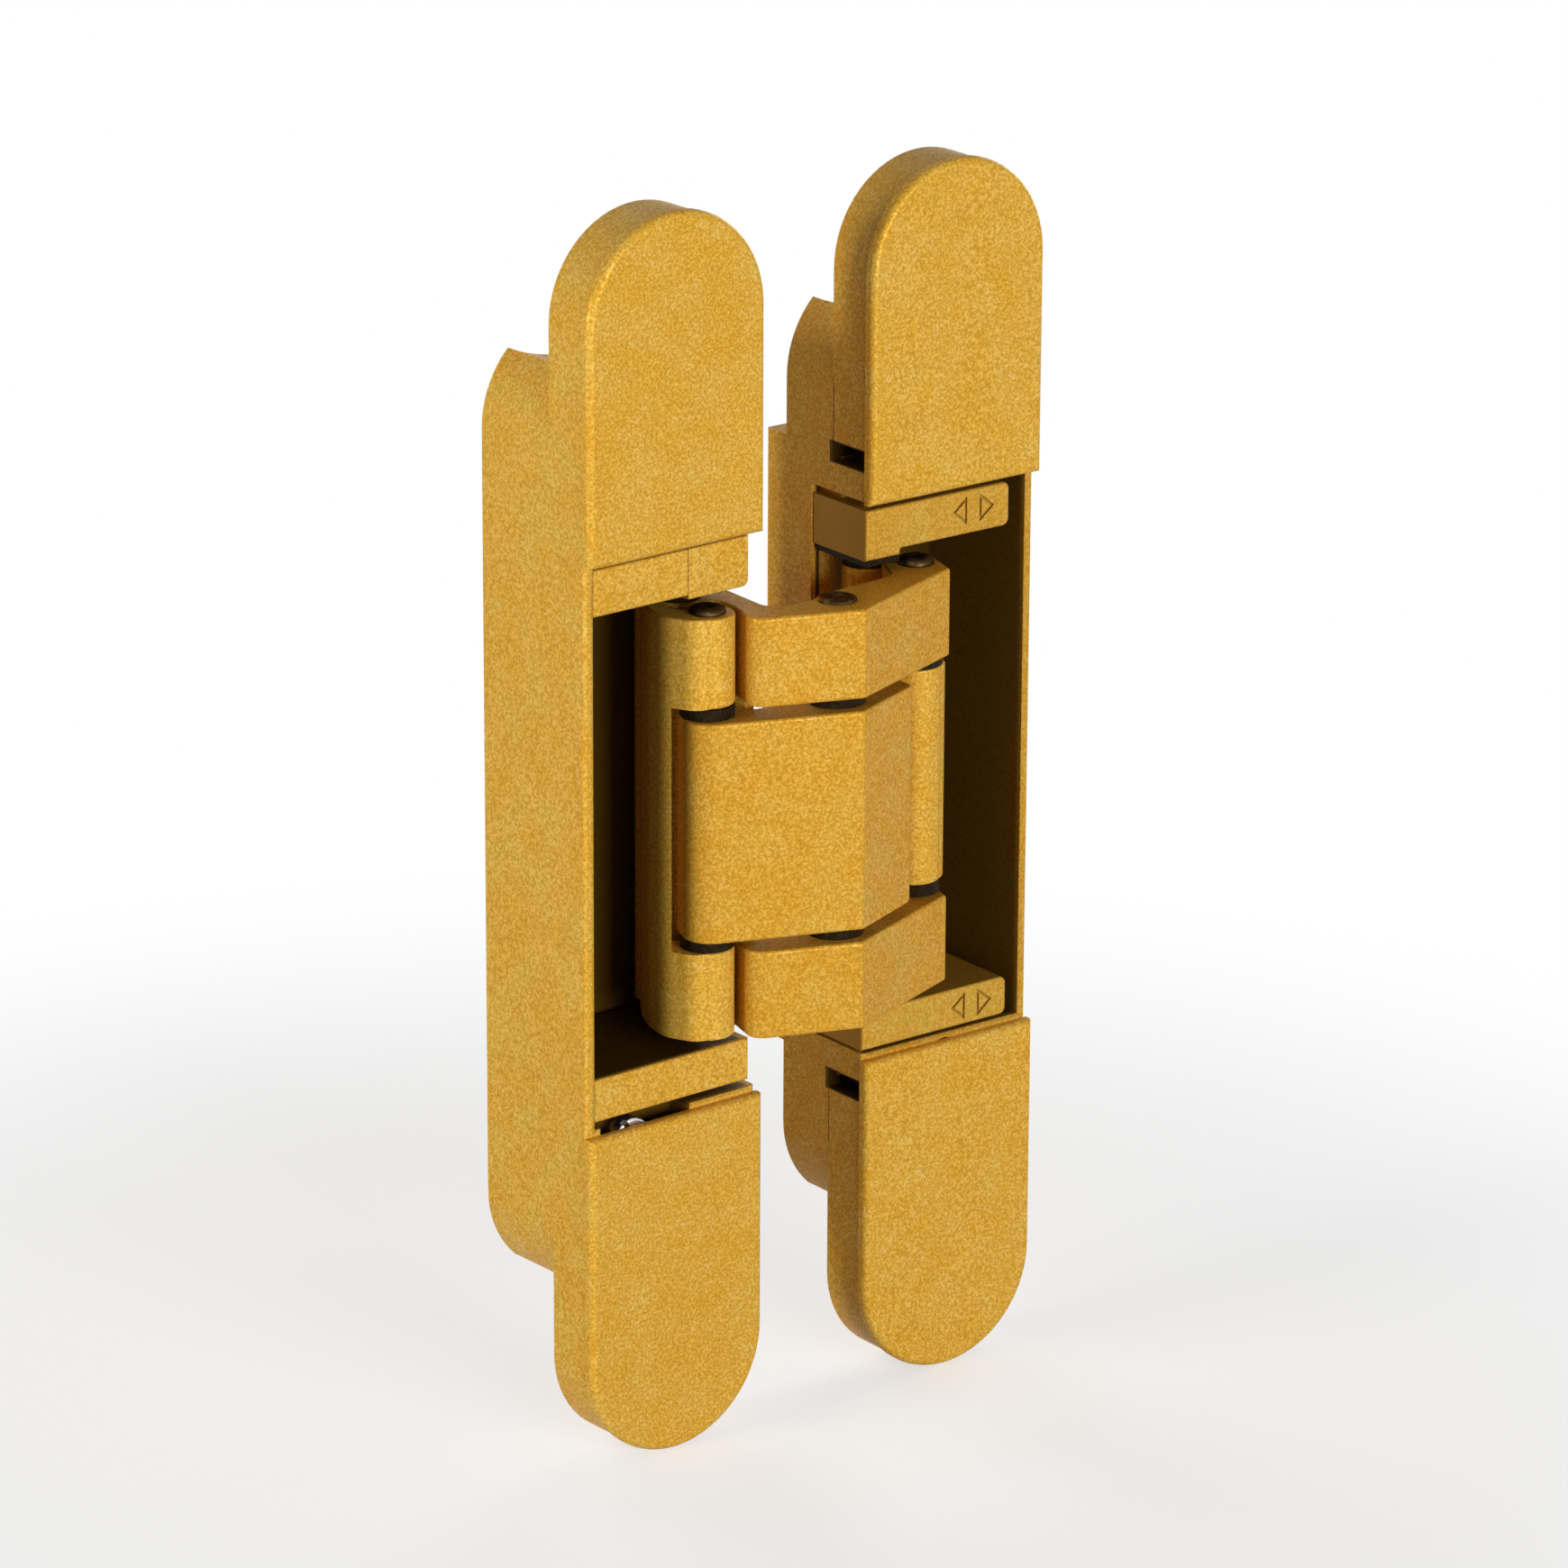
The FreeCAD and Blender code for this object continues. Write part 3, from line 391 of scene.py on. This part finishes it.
# The shades are painted shade: they make the arms and the door's casting a little deeper than the
# covers, and the pockets and the rear of the blocks have darker colours of painted shade. All were
# chosen by comparing renders with the photograph.
goldCoat = {
    "colour": (0.72, 0.405, 0.046, 1.0),
    "dark": (0.46, 0.235, 0.020, 1.0),
    "bright": (0.97, 0.67, 0.19, 1.0),
    "cloudDeep": (1.0, 0.93, 0.74, 1.0),
    "cloudPale": (1.0, 1.03, 1.15, 1.0),
    # Painted shade: the three dark colours below stand in for the shade in the pockets, the clip slots
    # and behind the blocks.
    "framePocketPaintedShade": (0.14, 0.070, 0.008, 1.0),
    "doorPocketPaintedShade": (0.062, 0.031, 0.003, 1.0),
    "doorBlocksPaintedShade": (0.40, 0.215, 0.027, 1.0),
    "plainShade": (1.0, 1.0, 1.0, 1.0),
    # Painted shade: the two multipliers below darken the arms and the door's casting as a whole.
    "armPaintedShade": (0.87, 0.81, 0.68, 1.0),
    "doorCasePaintedShade": (0.84, 0.80, 0.74, 1.0),
    "metallic": 0.12,
    "roughness": 0.40,
    "sheenTint": (1.0, 0.78, 0.38, 1.0),
    "specular": 0.10,
    "grainScale": 3000.0,
    "fleck": 0.60,
    "skinStrength": 0.35,
    "skinDepth": 0.00005,
}


def makeGold(name, hollows=(), hollowShade="doorPocketPaintedShade", shade="plainShade"):
    material, nodes, links = newMaterial(name)
    tree = material.node_tree
    shader = nodes["Principled BSDF"]
    grain = placeGroup(tree, coatGrain, {
        "Colour": goldCoat["colour"],
        "Dark Fleck": goldCoat["dark"],
        "Bright Fleck": goldCoat["bright"],
        "Cloud Deep": goldCoat["cloudDeep"],
        "Cloud Pale": goldCoat["cloudPale"],
        "Grain Scale": goldCoat["grainScale"],
        "Fleck Strength": goldCoat["fleck"],
        "Roughness": goldCoat["roughness"],
    })
    # Painted shade: the part's shade multiplies the whole coat.
    tone = mixColours(tree, 1.0, grain.outputs["Colour"], goldCoat[shade], "MULTIPLY")
    # Painted shade: inside each box the coat turns into the dark colour that stands in for shade.
    for hollow in hollows:
        mask = placeGroup(tree, paintedShadeBoxMask, hollow)
        tone = mixColours(tree, mask.outputs["Mask"], tone, goldCoat[hollowShade])
    links.new(tone, shader.inputs["Base Color"])
    links.new(grain.outputs["Roughness"], shader.inputs["Roughness"])
    shader.inputs["Metallic"].default_value = goldCoat["metallic"]
    shader.inputs["Specular IOR Level"].default_value = goldCoat["specular"]
    shader.inputs["Specular Tint"].default_value = goldCoat["sheenTint"]
    addBump(tree, shader, grain.outputs["Height"], goldCoat["skinStrength"], goldCoat["skinDepth"])
    return material


metalMarks = {
    "scuffScale": 900.0,
    "scuffDetail": 4.0,
    "scuff": (0.45, 0.72),
    "scuffDullness": 0.18,
    "fineScale": 6000.0,
    "fineDetail": 1.0,
    "bumpStrength": 0.15,
    "bumpDepth": 0.00002,
}


# Scuffs and a fine grain for pins and screws.
def makeTurnedMetal():
    tree, given, result = shaderGroup(
        "turnedMetal",
        (
            ("Colour", "NodeSocketColor", (0.2, 0.2, 0.2, 1.0)),
            ("Worn Colour", "NodeSocketColor", (0.5, 0.5, 0.5, 1.0)),
            ("Roughness", "NodeSocketFloat", 0.35),
            ("Wear", "NodeSocketFloat", 0.5),
        ),
        (("Colour", "NodeSocketColor"), ("Roughness", "NodeSocketFloat"), ("Height", "NodeSocketFloat")),
    )
    place = objectPlace(tree)
    scuff = noiseNode(tree, place, metalMarks["scuffScale"], metalMarks["scuffDetail"])
    fine = noiseNode(tree, place, metalMarks["fineScale"], metalMarks["fineDetail"])
    scuffed = rampNode(tree, scuff.outputs["Fac"], *metalMarks["scuff"])
    worn = mathNode(tree, "MULTIPLY", scuffed, given.outputs["Wear"])
    tone = mixColours(tree, worn, given.outputs["Colour"], given.outputs["Worn Colour"])
    tree.links.new(tone, result.inputs["Colour"])
    dullness = mathNode(tree, "MULTIPLY", scuff.outputs["Fac"], metalMarks["scuffDullness"])
    rough = mathNode(tree, "ADD", given.outputs["Roughness"], dullness)
    tree.links.new(rough, result.inputs["Roughness"])
    tree.links.new(fine.outputs["Fac"], result.inputs["Height"])
    return tree


turnedMetal = makeTurnedMetal()

metalFinishes = {
    "darkSteel": {
        "colour": (0.050, 0.031, 0.014, 1.0),
        "worn": (0.22, 0.15, 0.07, 1.0),
        "edge": (0.55, 0.38, 0.2, 1.0),
        "rough": 0.40,
        "wear": 0.4,
    },
    "zincPlate": {
        "colour": (0.62, 0.62, 0.64, 1.0),
        "worn": (0.85, 0.85, 0.86, 1.0),
        "edge": (1.0, 1.0, 1.0, 1.0),
        "rough": 0.20,
        "wear": 0.5,
    },
}


def makeMetal(name):
    finish = metalFinishes[name]
    material, nodes, links = newMaterial(name)
    tree = material.node_tree
    shader = nodes["Principled BSDF"]
    group = placeGroup(tree, turnedMetal, {
        "Colour": finish["colour"],
        "Worn Colour": finish["worn"],
        "Roughness": finish["rough"],
        "Wear": finish["wear"],
    })
    links.new(group.outputs["Colour"], shader.inputs["Base Color"])
    links.new(group.outputs["Roughness"], shader.inputs["Roughness"])
    shader.inputs["Metallic"].default_value = 1.0
    shader.inputs["Specular Tint"].default_value = finish["edge"]
    addBump(tree, shader, group.outputs["Height"], metalMarks["bumpStrength"], metalMarks["bumpDepth"])
    return material


blackPlastic = {
    "colour": (0.012, 0.007, 0.003, 1.0),
    "worn": (0.032, 0.020, 0.009, 1.0),
    "specular": 0.08,
    "sheenTint": (1.0, 0.75, 0.4, 1.0),
    "scale": 2400.0,
    "detail": 3.0,
    "patches": (0.4, 0.75),
    "roughFrom": (0.3, 0.7),
    "rough": (0.42, 0.62),
    "bumpStrength": 0.2,
    "bumpDepth": 0.00002,
}


def makePlastic():
    material, nodes, links = newMaterial("blackPlastic")
    tree = material.node_tree
    shader = nodes["Principled BSDF"]
    noise = noiseNode(tree, objectPlace(tree), blackPlastic["scale"], blackPlastic["detail"])
    share = rampNode(tree, noise.outputs["Fac"], *blackPlastic["patches"])
    tone = mixColours(tree, share, blackPlastic["colour"], blackPlastic["worn"])
    rough = rampNode(tree, noise.outputs["Fac"], *blackPlastic["roughFrom"], *blackPlastic["rough"])
    links.new(tone, shader.inputs["Base Color"])
    links.new(rough, shader.inputs["Roughness"])
    shader.inputs["Specular IOR Level"].default_value = blackPlastic["specular"]
    shader.inputs["Specular Tint"].default_value = blackPlastic["sheenTint"]
    addBump(tree, shader, noise.outputs["Fac"], blackPlastic["bumpStrength"], blackPlastic["bumpDepth"])
    return material


# Boxes in which the coat is painted dark, as the photograph shows it: painted shade inside the
# housings, in the door's clip slots and behind the blocks. The door unit's boxes lie in its own turned
# frame. The outer faces stay out.
doorPlace = {"Centre": (0.041109, -0.000700, 0.0), "Turn": math.radians(1.95)}
sharpEdge = (0.0001, 0.0001, 0.0001)
hollows = {
    "framePocketPaintedShade": {"Low": (-0.0117, -0.0068, -0.0331), "High": (0.0118, 0.0124, 0.0361)},
    "frameRecessPaintedShade": {"Low": (-0.0110, -0.0061, -0.0384), "High": (0.0030, 0.0000, -0.0320)},
    "frameBlocksPaintedShade": {
        "Low": (-0.0140, -0.0061, -0.0400),
        "High": (0.0109, 0.0140, 0.0500),
        "Soft Low": (0.0003, 0.0008, 0.0003),
    },
    "doorPocketPaintedShade": {"Low": (-0.0117, -0.0068, -0.0331), "High": (0.0118, 0.0122, 0.0361)},
    "doorSlotTopPaintedShade": {
        "Low": (-0.0125, -0.0066, 0.0390),
        "High": (-0.0090, 0.0006, 0.0418),
        "Soft Low": sharpEdge,
        "Soft High": sharpEdge,
    },
    "doorSlotBottomPaintedShade": {
        "Low": (-0.0125, -0.0066, -0.0388),
        "High": (-0.0090, 0.0006, -0.0360),
        "Soft Low": sharpEdge,
        "Soft High": sharpEdge,
    },
    "doorBlocksPaintedShade": {
        "Low": (-0.0140, -0.0064, -0.0400),
        "High": (0.0140, 0.0140, 0.0500),
        "Soft Low": (0.0003, 0.0006, 0.0003),
    },
}
for name, hollow in hollows.items():
    if name.startswith("door"):
        hollow.update(doorPlace)
frameHollows = (hollows["framePocketPaintedShade"], hollows["frameRecessPaintedShade"])
doorHollows = (hollows["doorPocketPaintedShade"], hollows["doorSlotTopPaintedShade"], hollows["doorSlotBottomPaintedShade"])
finishes = {
    "gold": makeGold("goldCoat"),
    "goldFrameCasePaintedShade": makeGold("goldCoatFrameCasePaintedShade", frameHollows, "framePocketPaintedShade"),
    "goldDoorCasePaintedShade": makeGold("goldCoatDoorCasePaintedShade", doorHollows, shade="doorCasePaintedShade"),
    "goldArmsPaintedShade": makeGold("goldCoatArmsPaintedShade", shade="armPaintedShade"),
    "goldFrameBlocksPaintedShade": makeGold("goldCoatFrameBlocksPaintedShade", (hollows["frameBlocksPaintedShade"],)),
    "goldDoorBlocksPaintedShade": makeGold("goldCoatDoorBlocksPaintedShade", (hollows["doorBlocksPaintedShade"],), "doorBlocksPaintedShade"),
    "steel": makeMetal("darkSteel"),
    "zinc": makeMetal("zincPlate"),
    "plastic": makePlastic(),
}
slotFinish = {
    "gold_powder_coat": "gold",
    "black_plastic": "plastic",
    "dark_steel": "steel",
    "zinc_plate": "zinc",
}
# The cases, arms and blocks take copies of the coat with painted shade.
unitFinish = {
    "fork_arm": "goldArmsPaintedShade",
    "inner_arm": "goldArmsPaintedShade",
    "frame_case": "goldFrameCasePaintedShade",
    "door_case": "goldDoorCasePaintedShade",
    "frame_block_top": "goldFrameBlocksPaintedShade",
    "frame_block_bottom": "goldFrameBlocksPaintedShade",
    "door_block_top": "goldDoorBlocksPaintedShade",
    "door_block_bottom": "goldDoorBlocksPaintedShade",
}

for entry in frame["record"]["subparts"]:
    node = entry["node"]
    finish = finishes[unitFinish.get(node, slotFinish[entry["material_slot"]])]
    for slot in frame["nodes"][node].material_slots:
        slot.material = finish
print("stage: finishes on", len(frame["nodes"]), "nodes")

# Peened rivets of the three knuckles. The profile runs from the middle of the cup over the
# rounded head and down the shank to half its length, as shares of the head's radius and height.
rivetShape = {
    "profile": (
        (0.00, 0.70), (0.14, 0.70), (0.26, 0.72), (0.33, 0.79), (0.39, 0.92), (0.45, 0.985),
        (0.53, 1.00), (0.63, 0.985), (0.74, 0.94), (0.85, 0.85), (0.92, 0.72), (0.965, 0.56),
        (0.99, 0.38), (1.00, 0.20), (0.995, 0.06), (0.97, 0.00),
    ),
    "stepsRound": 72,
    "mergeWithin": 0.002,
}

# Each rivet takes its length and its head from the pin that it replaces, and its seat from the
# top of the arm that it holds. The shank's radius is in millimetres.
rivetPins = {
    "centreRivet": {
        "node": "centre_pin",
        "arm": "fork_arm",
        "body": "fork",
        "shank": 2.08,
    },
    "frameKnuckleRivet": {
        "node": "frame_knuckle_pin",
        "arm": "frame_link",
        "body": "inner",
        "shank": 1.88,
    },
    "doorKnuckleRivet": {
        "node": "door_knuckle_pin",
        "arm": "fork_arm",
        "body": "door_side_link",
        "shank": 1.88,
    },
}


def setCurve(node, values):
    curve = node.mapping.curves[0]
    last = len(values) - 1
    while len(curve.points) < len(values):
        curve.points.new(0.5, 0.5)
    for index, value in enumerate(values):
        curve.points[index].location = (index / last, value)
        curve.points[index].handle_type = "VECTOR"
    node.mapping.update()


def makeRivetTree():
    profile = rivetShape["profile"]
    steps = len(profile) + 2
    tree = bpy.data.node_groups.new("peenedRivet", "GeometryNodeTree")
    for label, kind in (
        ("Middle", "NodeSocketVector"),
        ("Half Length", "NodeSocketFloat"),
        ("Shank Radius", "NodeSocketFloat"),
        ("Head Radius", "NodeSocketFloat"),
        ("Head Height", "NodeSocketFloat"),
        ("Steps Round", "NodeSocketInt"),
        ("Finish", "NodeSocketMaterial"),
    ):
        tree.interface.new_socket(label, in_out="INPUT", socket_type=kind)
    tree.interface.new_socket("Geometry", in_out="OUTPUT", socket_type="NodeSocketGeometry")
    given = tree.nodes.new("NodeGroupInput")
    result = tree.nodes.new("NodeGroupOutput")

    # A square grid is wound round the axis. Its x becomes the turn, and its y runs along the
    # profile.
    grid = tree.nodes.new("GeometryNodeMeshGrid")
    grid.inputs["Size X"].default_value = 1.0
    grid.inputs["Size Y"].default_value = 1.0
    grid.inputs["Vertices Y"].default_value = steps
    tree.links.new(given.outputs["Steps Round"], grid.inputs["Vertices X"])
    axes = tree.nodes.new("ShaderNodeSeparateXYZ")
    tree.links.new(tree.nodes.new("GeometryNodeInputPosition").outputs[0], axes.inputs[0])
    turn = mathNode(tree, "MULTIPLY", mathNode(tree, "ADD", axes.outputs[0], 0.5), 2 * math.pi)
    along = mathNode(tree, "ADD", axes.outputs[1], 0.5)

    def scaledCurve(values, size):
        node = tree.nodes.new("ShaderNodeFloatCurve")
        setCurve(node, values)
        tree.links.new(along, node.inputs["Value"])
        return mathNode(tree, "MULTIPLY", node.outputs[0], given.outputs[size])

    across = scaledCurve([radius for radius, height in profile] + [0.0, 0.0], "Head Radius")
    onShank = scaledCurve([0.0] * len(profile) + [1.0, 1.0], "Shank Radius")
    rise = scaledCurve([height for radius, height in profile] + [0.0, 0.0], "Head Height")
    seat = scaledCurve([1.0] * (len(profile) + 1) + [0.0], "Half Length")
    radius = mathNode(tree, "ADD", across, onShank)
    height = mathNode(tree, "ADD", rise, seat)
    place = tree.nodes.new("ShaderNodeCombineXYZ")
    for index, operation in enumerate(("COSINE", "SINE")):
        share = mathNode(tree, operation, turn)
        tree.links.new(mathNode(tree, "MULTIPLY", radius, share), place.inputs[index])
    tree.links.new(height, place.inputs[2])
    lathed = tree.nodes.new("GeometryNodeSetPosition")
    tree.links.new(grid.outputs["Mesh"], lathed.inputs["Geometry"])
    tree.links.new(place.outputs[0], lathed.inputs["Position"])

    # Two points at the pin's middle carry the upper half and, turned over, the lower half.
    ends = tree.nodes.new("GeometryNodeMeshLine")
    ends.inputs["Count"].default_value = 2
    tree.links.new(given.outputs["Middle"], ends.inputs["Start Location"])
    ends.inputs["Offset"].default_value = (0.0, 0.0, 0.0)
    over = tree.nodes.new("ShaderNodeCombineXYZ")
    halfNumber = tree.nodes.new("GeometryNodeInputIndex").outputs[0]
    tree.links.new(mathNode(tree, "MULTIPLY", halfNumber, math.pi), over.inputs[0])
    both = tree.nodes.new("GeometryNodeInstanceOnPoints")
    tree.links.new(ends.outputs["Mesh"], both.inputs["Points"])
    tree.links.new(lathed.outputs["Geometry"], both.inputs["Instance"])
    tree.links.new(over.outputs[0], both.inputs["Rotation"])
    realized = tree.nodes.new("GeometryNodeRealizeInstances")
    tree.links.new(both.outputs[0], realized.inputs[0])
    merged = tree.nodes.new("GeometryNodeMergeByDistance")
    merged.inputs["Distance"].default_value = rivetShape["mergeWithin"] * mm
    tree.links.new(realized.outputs[0], merged.inputs["Geometry"])
    finished = tree.nodes.new("GeometryNodeSetMaterial")
    tree.links.new(merged.outputs[0], finished.inputs["Geometry"])
    tree.links.new(given.outputs["Finish"], finished.inputs["Material"])
    tree.links.new(finished.outputs[0], result.inputs["Geometry"])
    return tree


def makeRivet(tree, sockets, name, pin):
    low, high = (Vector(corner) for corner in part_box(pin["node"]))
    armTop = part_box(pin["arm"])[1][2]
    halfLength = armTop - (low.z + high.z) / 2
    piece = bpy.data.objects.new(name, bpy.data.meshes.new(name))
    scene.collection.objects.link(piece)
    modifier = piece.modifiers.new("rivet", "NODES")
    modifier.node_group = tree
    values = {
        "Middle": (low + high) / 2,
        "Half Length": halfLength,
        "Shank Radius": pin["shank"] * mm,
        "Head Radius": (high.x - low.x) / 2,
        "Head Height": (high.z - low.z) / 2 - halfLength,
        "Steps Round": rivetShape["stepsRound"] + 1,
        "Finish": finishes["steel"],
    }
    for label, value in values.items():
        modifier[sockets[label]] = value
    bpy.context.view_layer.update()
    shaped = piece.evaluated_get(bpy.context.evaluated_depsgraph_get())
    mesh = bpy.data.meshes.new_from_object(shaped)
    piece.modifiers.remove(modifier)
    piece.data = mesh
    return piece


def finishSurface(piece):
    solid = bmesh.new()
    solid.from_mesh(piece.data)
    bmesh.ops.recalc_face_normals(solid, faces=solid.faces)
    for face in solid.faces:
        face.smooth = True
    openEdges = sum(len(edge.link_faces) != 2 for edge in solid.edges)
    volume = solid.calc_volume(signed=True) / mm**3
    print(piece.name, "faces", len(solid.faces), "open edges", openEdges, "mm3", round(volume, 2))
    solid.to_mesh(piece.data)
    solid.free()


def makeRivets():
    tree = makeRivetTree()
    inputs = [item for item in tree.interface.items_tree if item.in_out == "INPUT"]
    sockets = {item.name: item.identifier for item in inputs}
    for name, pin in rivetPins.items():
        piece = makeRivet(tree, sockets, name, pin)
        finishSurface(piece)
        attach(piece, pin["body"])
        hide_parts(pin["node"])
    print("stage: rivets", len(rivetPins))


makeRivets()
